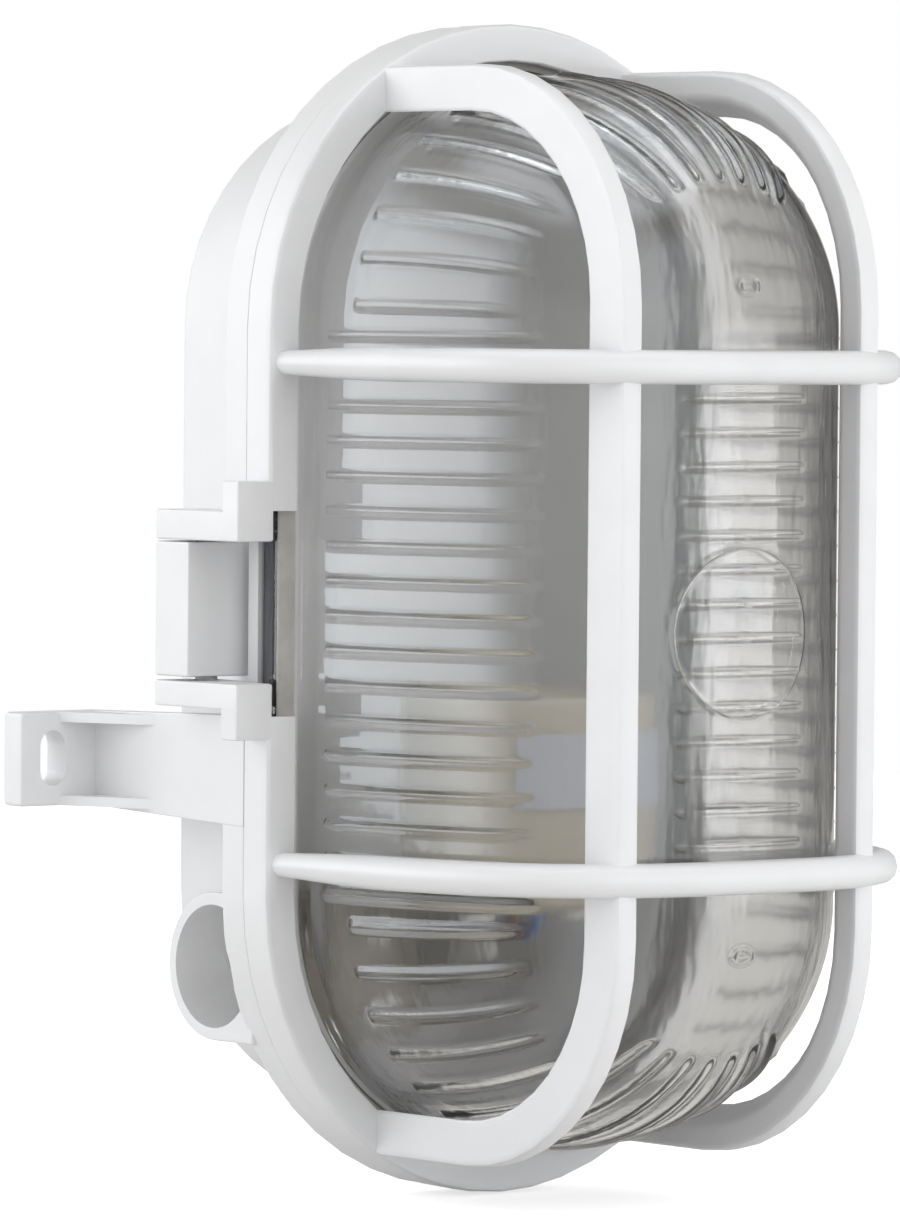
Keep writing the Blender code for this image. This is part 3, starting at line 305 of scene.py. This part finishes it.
def soft_edges(node, body, width, material):
    """A copy of a node with small rounds on its edges and smooth curved walls."""
    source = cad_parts[node]
    form = bmesh.new()
    form.from_mesh(source.data)
    bmesh.ops.remove_doubles(form, verts=form.verts, dist=WELD * MM)
    flat = math.radians(FLAT_ANGLE)
    bmesh.ops.dissolve_limit(form, angle_limit=flat, verts=form.verts, edges=form.edges)
    mesh = bpy.data.meshes.new(node + "_soft")
    form.to_mesh(mesh)
    form.free()
    item = bpy.data.objects.new(node + "_soft", mesh)
    item.matrix_world = source.matrix_world
    bpy.context.scene.collection.objects.link(item)
    rounds = item.modifiers.new("edge_rounds", "BEVEL")
    rounds.width = width * MM
    rounds.segments = ROUND_SEGMENTS
    rounds.limit_method = "ANGLE"
    rounds.angle_limit = math.radians(ROUNDED_ANGLE)
    rounds.harden_normals = False
    rounds.use_clamp_overlap = True
    mesh.shade_smooth()
    weight = item.modifiers.new("face_normals", "WEIGHTED_NORMAL")
    weight.keep_sharp = True
    weight.weight = FLAT_WEIGHT
    mesh.materials.append(material)
    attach(item, body)
    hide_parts(node)


def glass_radius(depth):
    ratio = min(1.0, abs(min(depth, 0.0)) / GLASS_FRONT)
    return GLASS_RADIUS * max(0.0, 1.0 - ratio**GLASS_POWER) ** (1.0 / GLASS_POWER)


def glass_depth(radius):
    ratio = radius / GLASS_RADIUS
    return -GLASS_FRONT * max(0.0, 1.0 - ratio**GLASS_POWER) ** (1.0 / GLASS_POWER)


def hump(distance, half_width):
    """A round ridge, 1 on its crest and 0 beyond half_width."""
    if abs(distance) >= half_width:
        return 0.0
    return math.cos(math.pi / 2 * distance / half_width) ** 2


def step_up(value, length):
    """0 below nothing, 1 above length, smooth between."""
    t = min(1.0, max(0.0, value / length))
    return t * t * (3 - 2 * t)


def oval_stations():
    """Places round the oval: x factor, z factor, spine z, rib and whether it is on a side.

    The rib is the height share on a side, and the angle off the rib's middle in a fan."""
    side = []
    count = round(2 * HALF_STRAIGHT / SIDE_STEP)
    for k in range(count):
        z = -HALF_STRAIGHT + 2 * HALF_STRAIGHT * k / count
        nearest = round(z / RIB_PITCH)
        crest = 0.0
        if abs(nearest) <= (SIDE_RIBS - 1) / 2:
            crest = hump(z - nearest * RIB_PITCH, SIDE_RIB_HALF_WIDTH)
        side.append((z, crest))
    fan = []
    total = FAN_RIBS * FAN_STEPS
    for k in range(total):
        angle = math.pi * k / total
        middle = (math.floor(angle / math.pi * FAN_RIBS) + 0.5) * math.pi / FAN_RIBS
        fan.append((angle, angle - middle))
    stations = []
    for way in (1.0, -1.0):
        for angle, off in fan:
            x_factor, z_factor = way * math.cos(angle), way * math.sin(angle)
            stations.append((x_factor, z_factor, way * HALF_STRAIGHT, off, False))
        for z, crest in side:
            stations.append((-way, 0.0, -way * z, crest, True))
    return stations


def dome_section(rim, front, steps):
    """Radius and depth along the dome's section, evenly spread over the whole curve."""
    section = []
    for k in range(steps):
        angle = math.pi / 2 * k / steps
        across, ahead = math.cos(angle), math.sin(angle)
        scale = (ahead**GLASS_POWER + across**GLASS_POWER) ** (-1.0 / GLASS_POWER)
        section.append((rim * across * scale, -front * ahead * scale))
    return section


def ring_places(*stops):
    """Places from stop to stop, at the step that each stop gives for the stretch after it."""
    places = []
    for (start, step), (end, _) in zip(stops, stops[1:]):
        count = max(1, round(abs(end - start) / step))
        places += [start + (end - start) * k / count for k in range(count)]
    return places


def ribbed_section():
    """The outer section, with close rings only where a rib ends or the front has its marks."""
    depths = ring_places(
        (0.0, WALL_STEP),
        (SIDE_RIB_START - RIB_LEAD, FINE_STEP),
        (SIDE_RIB_START + SIDE_RIB_LAP[0], WALL_STEP),
        (FAN_RIB_START - RIB_LEAD, FINE_STEP),
        (FAN_RIB_START + FAN_RIB_LAP, SHOULDER_STEP),
        (SHOULDER_DEPTH, None),
    )
    radii = ring_places(
        (glass_radius(-SHOULDER_DEPTH), FRONT_STEP),
        (SIDE_RIB_END + SIDE_RIB_LAP[1], FINE_STEP),
        (SIDE_RIB_END - RIB_LEAD, FRONT_STEP),
        (FAN_RIB_END + FAN_RIB_LAP, FINE_STEP),
        (FAN_RIB_END - RIB_LEAD, FRONT_STEP),
        (MARK_RADIUS + MARK_LEAD, FINE_STEP),
        (MIDDLE_RADIUS, None),
    )
    section = [(glass_radius(-depth), -depth) for depth in depths]
    return section + [(radius, glass_depth(radius)) for radius in radii]


def surface_rise(radius, depth, x, z, crest, on_side):
    """Height of the ribs, the ladder, the ring and the pips above the plain dome."""
    if on_side:
        rise = crest * step_up(-depth - SIDE_RIB_START, SIDE_RIB_RISE)
        height = SIDE_RIB_HEIGHT * (rise * step_up(radius - SIDE_RIB_END, SIDE_RIB_FADE))
    else:
        rise = hump(crest * radius, FAN_RIB_HALF_WIDTH)
        to_side = step_up(abs(x) / radius - FAN_SIDE_SHARE[0], FAN_SIDE_SHARE[1])
        end = FAN_RIB_END + to_side * (FAN_SIDE_END - FAN_RIB_END)
        fade = FAN_RIB_RISE + to_side * (SIDE_RIB_FADE - FAN_RIB_RISE)
        rise *= step_up(-depth - FAN_RIB_START, FAN_RIB_RISE)
        height = FAN_RIB_HEIGHT * (rise * step_up(radius - end, fade))
    if abs(x) < LADDER_HALF:
        middle = (LADDER_RIBS - 1) / 2
        k = round(z / LADDER_PITCH + middle)
        if 0 <= k < LADDER_RIBS:
            rung = LADDER_HEIGHT * hump(z - (k - middle) * LADDER_PITCH, LADDER_HALF_WIDTH)
            height += rung * step_up(LADDER_HALF - abs(x), LADDER_FADE)
    if depth < -GLASS_FRONT / 2:
        ring = math.hypot(x, z - MARK_Z) - MARK_RADIUS
        height -= MARK_DEPTH * hump(ring, MARK_HALF_WIDTH)
        pip = math.hypot(x / PIP_SIZE[0], (abs(z) - PIP_Z) / PIP_SIZE[1])
        height += PIP_HEIGHT * hump(pip - 1.0, PIP_HALF_WIDTH)
    return height


def bridge(form, rings, slot):
    """Four-sided faces from each ring to the next."""
    count = len(rings[0])
    for low, high in zip(rings, rings[1:]):
        for i in range(count):
            j = (i + 1) % count
            form.faces.new([low[i], high[i], high[j], low[j]]).material_index = slot


def close_front(form, ring, slot):
    """Cap the last ring, a long flat slot, by strips across it from its top to its bottom."""
    count = len(ring)
    top = max(range(count), key=lambda i: ring[i].co.z)
    ring = ring[top:] + ring[:top]
    low, high = 0, count - 1
    while high - low >= 2:
        corners = [ring[low], ring[low + 1], ring[high - 1], ring[high]]
        if high - low == 2:
            corners = [ring[low], ring[low + 1], ring[high]]
        form.faces.new(corners).material_index = slot
        low += 1
        high -= 1


def join_backs(form, outer, inner):
    """The flat back of the flange, between a fine ring and a ring of every fourth station."""
    count = len(outer)
    few = len(inner)
    for k in range(few):
        start = k * INNER_EVERY
        end = count if k == few - 1 else min(start + INNER_EVERY, count)
        fan = [outer[i % count] for i in range(start, end + 1)]
        form.faces.new(fan + [inner[(k + 1) % few], inner[k]])


def fine_glass(outside, inside, edge):
    """The dome again with its real ribs: thin, round and fading out at their ends."""
    stations = oval_stations()
    few = stations[::INNER_EVERY]
    hollow_radius = GLASS_RADIUS - GLASS_WALL
    form = bmesh.new()

    def ring_of(radius, depth, chosen, ribbed=False):
        ring = []
        slope = math.atan2(radius / GLASS_RADIUS, -depth / GLASS_FRONT)
        for fx, fz, spine, crest, on_side in chosen:
            height = 0.0
            if ribbed:
                x, z = fx * radius, spine + fz * radius
                height = surface_rise(radius, depth, x, z, crest, on_side)
            r = radius + height * math.sin(slope)
            d = depth - height * math.cos(slope)
            ring.append(form.verts.new((fx * r * MM, (FRONT + d) * MM, (spine + fz * r) * MM)))
        return ring

    root = (
        (FLANGE_RADIUS, FLANGE_BACK),
        (FLANGE_RADIUS, FLANGE_FRONT + CHAMFER),
        (FLANGE_RADIUS - CHAMFER, FLANGE_FRONT),
        (GLASS_RADIUS + ROOT_ROUND, FLANGE_FRONT),
        (GLASS_RADIUS + CHAMFER, FLANGE_FRONT - CHAMFER),
        (GLASS_RADIUS, FLANGE_FRONT - ROOT_ROUND),
    )
    flange = [ring_of(r, d, stations) for r, d in root]
    bridge(form, flange[:2], OUTSIDE)
    bridge(form, flange[1:4], EDGE)
    rings = flange[3:] + [ring_of(r, d, stations, True) for r, d in ribbed_section()]
    bridge(form, rings, OUTSIDE)
    close_front(form, rings[-1], OUTSIDE)
    inner = dome_section(hollow_radius, GLASS_FRONT - GLASS_WALL, INNER_RINGS)
    hollow = [ring_of(r, d, few) for r, d in [(hollow_radius, FLANGE_BACK)] + inner]
    bridge(form, hollow, HOLLOW)
    close_front(form, hollow[-1], HOLLOW)
    join_backs(form, flange[0], hollow[0])
    mesh = bpy.data.meshes.new("fine_glass")
    bmesh.ops.recalc_face_normals(form, faces=form.faces)
    form.to_mesh(mesh)
    form.free()
    mesh.shade_smooth()
    for material in (outside, inside, edge):
        mesh.materials.append(material)
    item = bpy.data.objects.new("fine_glass", mesh)
    bpy.context.scene.collection.objects.link(item)
    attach(item, "guard")
    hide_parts("glass_dome")


make_camera()
bpy.context.scene.view_settings.view_transform = "Standard"

# Plastic: colour, roughness, grain, its scale and spread of the shades. Metal: the first two.
white = plastic("white_plastic", (0.797, 0.802, 0.817), 0.38)
rubber = plastic("grey_rubber", (0.10, 0.105, 0.12), 0.6, 0.3, 700.0, 0.25)
cream = plastic("cream_insulator", (0.60, 0.565, 0.485), 0.3)
sticker = plastic("plain_sticker", (0.60, 0.63, 0.69), 0.5)
dark = plastic("dark_insulator", (0.30, 0.285, 0.26), 0.45)
brown = plastic("brown_insulation", (0.16, 0.07, 0.035), 0.5)
blue = plastic("blue_insulation", (0.05, 0.14, 0.42), 0.5)
brass = metal("nickelled_brass", (0.70, 0.64, 0.52), 0.3)
steel = metal("zinc_steel", (0.78, 0.78, 0.79), 0.45)
dull_zinc = metal("dull_zinc", (0.44, 0.41, 0.35), 0.6)
# Glass: roughness, ripple, its scale and its stretch
clear = glass("clear_glass", 0.05, 0.05, 260.0, 1.5, marked=True)
clear_inside = glass("clear_glass_inside", 0.15, 0.3, 240.0, 4.0, marked=False)
frosted = frosted_glass("frosted_edge")

LOOKS = {
    "base_housing": white,
    "guard_cage": white,
    "hinge_pin": white,
    "glass_dome": clear,
    "dome_gasket": rubber,
    "lampholder_body": cream,
    "lampholder_shell": brass,
    "centre_contact": brass,
    "holder_label": sticker,
    "lampholder_bracket": dull_zinc,
    "terminal_block": dark,
    "terminal_tube_live": brass,
    "terminal_tube_neutral": brass,
    "lead_live": brown,
    "lead_neutral": blue,
}
for node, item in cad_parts.items():
    item.data.materials.clear()
    item.data.materials.append(LOOKS.get(node, steel))

# Width of the rounds in millimetres
soft_edges("base_housing", "base", 0.35, white)
soft_edges("guard_cage", "guard", 0.45, white)
soft_edges("lampholder_body", "base", 0.4, cream)
fine_glass(clear, clear_inside, frosted)

# Floor and studio

NEUTRAL = (1.0, 1.0, 1.0)
WARM = (1.0, 0.98, 0.94)
COOL = (0.85, 0.925, 1.0)

FLOOR_REACH = 0.9
FLOOR_LEVEL = -0.0953
FLOOR_LOOK = {
    "Base Color": (0.86, 0.86, 0.86, 1.0),
    "Roughness": 0.9,
    "Specular IOR Level": 0.1,
}
FLOOR_GLOW = 0.62
FLOOR_IN_GLASS = 0.65  # level of the floor where glass or gloss shows it

WORLD_LIGHT = 0.76  # level of the world as a light
WORLD_COLOUR = (1.0, 0.985, 0.962)
STUDIO_STRENGTH = 4.0
BOX_THROUGH_GLASS = 0.05  # share of the soft boxes that shows through glass

# Azimuth in degrees from the wall's normal towards the right, and grey over STUDIO_STRENGTH
PAPER = (
    (-180.0, 0.18), (-112.0, 0.18), (-30.0, 0.2), (10.0, 0.15), (46.0, 0.14), (110.0, 0.18),
    (180.0, 0.18),
)
FLAG = (
    (-180.0, 0.18), (-112.0, 0.18), (-30.0, 0.2), (10.0, 0.15), (46.0, 0.125), (54.0, 0.03),
    (78.0, 0.04), (96.0, 0.16), (180.0, 0.18),
)
BOX_AROUND = (
    (-180.0, 0.4), (-152.0, 0.4), (-140.0, 0.0), (-104.0, 0.0), (-80.0, 1.0), (-47.0, 1.0),
    (-38.0, 0.9), (-22.0, 0.5), (0.0, 0.0), (156.0, 0.0), (165.0, 0.4), (180.0, 0.4),
)
# Elevation in degrees, and share
ROOM = ((-90.0, 0.9), (-12.0, 1.0), (9.0, 1.0), (20.0, 0.6), (42.0, 0.6), (60.0, 1.0), (90.0, 1.0))
FLAG_UPWARD = ((-90.0, 0.0), (-38.0, 0.0), (-22.0, 1.0), (22.0, 1.0), (38.0, 0.2), (90.0, 0.0))
OVERHEAD = ((-90.0, 0.0), (50.0, 0.0), (62.0, 0.5), (90.0, 0.5))
BOX_UPWARD = ((-45.0, 0.0), (-30.0, 1.0), (30.0, 1.0), (45.0, 0.0))

# Place and size in metres, power in watts
LAMPS = (
    ("left_box", (-1.33, 0.62, 0.05), (1.3, 2.0), 11.0),
    ("front_box", (0.1, -1.9, 0.9), (1.8, 1.8), 9.8),
    ("low_fill", (0.75, -1.1, -0.02), (0.8, 0.14), 3.2),
)
LAMP_AIM = (0.0, -0.05, 0.0)
LAMP_COLOUR = (0.962, 0.98, 1.0)


def shader_mix(tree, share, first, second):
    mix = tree.nodes.new("ShaderNodeMixShader")
    tree.links.new(share, mix.inputs["Fac"])
    tree.links.new(first, mix.inputs[1])
    tree.links.new(second, mix.inputs[2])
    return mix.outputs["Shader"]


def camera_mix(tree, other, camera):
    """One shader for the camera's own rays, another for the rest."""
    path = tree.nodes.new("ShaderNodeLightPath").outputs
    return shader_mix(tree, path["Is Camera Ray"], other, camera)


def light_path_mix(tree, plain, seen):
    """What the lamps light, for scattered rays, and what the camera, glass and gloss see."""
    path = tree.nodes.new("ShaderNodeLightPath").outputs
    sharp = math_node(tree, "MAXIMUM", path["Is Glossy Ray"], path["Is Transmission Ray"])
    sharp = math_node(tree, "MAXIMUM", path["Is Camera Ray"], sharp)
    return shader_mix(tree, sharp, plain, seen)


def glowing(tree, kind, colour, strength):
    """An Emission or Background shader."""
    node = tree.nodes.new(kind)
    node.inputs["Color"].default_value = (*colour, 1.0)
    node.inputs["Strength"].default_value = strength
    return node


def make_floor():
    """Paper that glows to white for the camera and is an even grey in glass and gloss."""
    mesh = bpy.data.meshes.new("floor")
    corners = [(-1, -1), (1, -1), (1, 1), (-1, 1)]
    places = [(x * FLOOR_REACH, y * FLOOR_REACH, FLOOR_LEVEL) for x, y in corners]
    mesh.from_pydata(places, [], [(0, 1, 2, 3)])
    floor = bpy.data.objects.new("floor", mesh)
    bpy.context.scene.collection.objects.link(floor)
    material, tree, shader = new_material("floor_paper", FLOOR_LOOK)
    glow = glowing(tree, "ShaderNodeEmission", NEUTRAL, FLOOR_GLOW)
    both = tree.nodes.new("ShaderNodeAddShader")
    tree.links.new(shader.outputs["BSDF"], both.inputs[0])
    tree.links.new(glow.outputs["Emission"], both.inputs[1])
    in_glass = glowing(tree, "ShaderNodeEmission", WARM, FLOOR_IN_GLASS)
    seen = camera_mix(tree, in_glass.outputs["Emission"], both.outputs["Shader"])
    mixed = light_path_mix(tree, shader.outputs["BSDF"], seen)
    tree.links.new(mixed, tree.nodes["Material Output"].inputs["Surface"])
    mesh.materials.append(material)


def tone_ramp(tree, value, stops, tint):
    """A tone by position; stops are (position from 0 to 1, grey)."""
    ramp = tree.nodes.new("ShaderNodeValToRGB")
    ramp.color_ramp.interpolation = "EASE"
    places = ramp.color_ramp.elements
    while len(places) < len(stops):
        places.new(0.5)
    for place, (position, grey) in zip(places, stops):
        place.position = position
        place.color = (*(min(1.0, grey * share) for share in tint), 1.0)
    tree.links.new(value, ramp.inputs["Fac"])
    return ramp.outputs["Color"]


def colour_math(tree, blend, first, second, share=None):
    node = tree.nodes.new("ShaderNodeMix")
    node.data_type = "RGBA"
    node.blend_type = blend
    node.inputs["Factor"].default_value = 1.0
    if share is not None:
        tree.links.new(share, node.inputs["Factor"])
    tree.links.new(first, node.inputs["A"])
    tree.links.new(second, node.inputs["B"])
    return node.outputs["Result"]


def studio_tone(tree):
    """What glass and gloss see of the room: pale paper all round, a dark flag to the right
    behind the object, a greyer band above, soft boxes at the left and in front, and a pale
    patch overhead."""
    where = tree.nodes.new("ShaderNodeTexCoord")
    parts = tree.nodes.new("ShaderNodeSeparateXYZ")
    tree.links.new(where.outputs["Generated"], parts.inputs["Vector"])
    turn = math_node(tree, "ARCTAN2", parts.outputs["X"], parts.outputs["Y"])
    turn = math_node(tree, "DIVIDE", turn, 2 * math.pi)
    turn = math_node(tree, "ADD", turn, 0.5)
    height = math_node(tree, "MULTIPLY", parts.outputs["Z"], 0.5)
    height = math_node(tree, "ADD", height, 0.5)

    def around(stops, tint):
        return tone_ramp(tree, turn, [(0.5 + a / 360.0, grey) for a, grey in stops], tint)

    def upward(stops, tint=NEUTRAL):
        rises = [(0.5 + 0.5 * math.sin(math.radians(e)), grey) for e, grey in stops]
        return tone_ramp(tree, height, rises, tint)

    paper, flag = around(PAPER, WARM), around(FLAG, WARM)
    flagged = colour_math(tree, "MIX", paper, flag, upward(FLAG_UPWARD))
    room = colour_math(tree, "MULTIPLY", flagged, upward(ROOM))
    box = colour_math(tree, "MULTIPLY", around(BOX_AROUND, COOL), upward(BOX_UPWARD))
    path = tree.nodes.new("ShaderNodeLightPath").outputs
    share = math_node(tree, "MULTIPLY", path["Is Transmission Ray"], BOX_THROUGH_GLASS - 1.0)
    share = math_node(tree, "ADD", share, 1.0)
    box = colour_math(tree, "MULTIPLY", box, share)
    lit = colour_math(tree, "ADD", room, box)
    return colour_math(tree, "ADD", lit, upward(OVERHEAD, COOL))


def make_world():
    """White to the camera, the studio to glass and gloss, and a plain soft light to the rest."""
    world = bpy.data.worlds.new("studio")
    bpy.context.scene.world = world
    world.use_nodes = True
    tree = world.node_tree
    plain = tree.nodes["Background"]
    plain.inputs["Color"].default_value = (*WORLD_COLOUR, 1.0)
    plain.inputs["Strength"].default_value = WORLD_LIGHT
    backdrop = glowing(tree, "ShaderNodeBackground", NEUTRAL, 1.0)
    studio = glowing(tree, "ShaderNodeBackground", NEUTRAL, STUDIO_STRENGTH)
    tree.links.new(studio_tone(tree), studio.inputs["Color"])
    seen = camera_mix(tree, studio.outputs["Background"], backdrop.outputs["Background"])
    mixed = light_path_mix(tree, plain.outputs["Background"], seen)
    tree.links.new(mixed, tree.nodes["World Output"].inputs["Surface"])


def area_light(name, place, size, power):
    data = bpy.data.lights.new(name, "AREA")
    data.shape = "RECTANGLE"
    data.size, data.size_y = size
    data.energy = power
    data.color = LAMP_COLOUR
    lamp = bpy.data.objects.new(name, data)
    direction = Vector(LAMP_AIM) - Vector(place)
    lamp.location = place
    lamp.rotation_euler = direction.to_track_quat("-Z", "Y").to_euler()
    lamp.visible_camera = False
    lamp.visible_glossy = False
    bpy.context.scene.collection.objects.link(lamp)


make_floor()
make_world()
for lamp in LAMPS:
    area_light(*lamp)
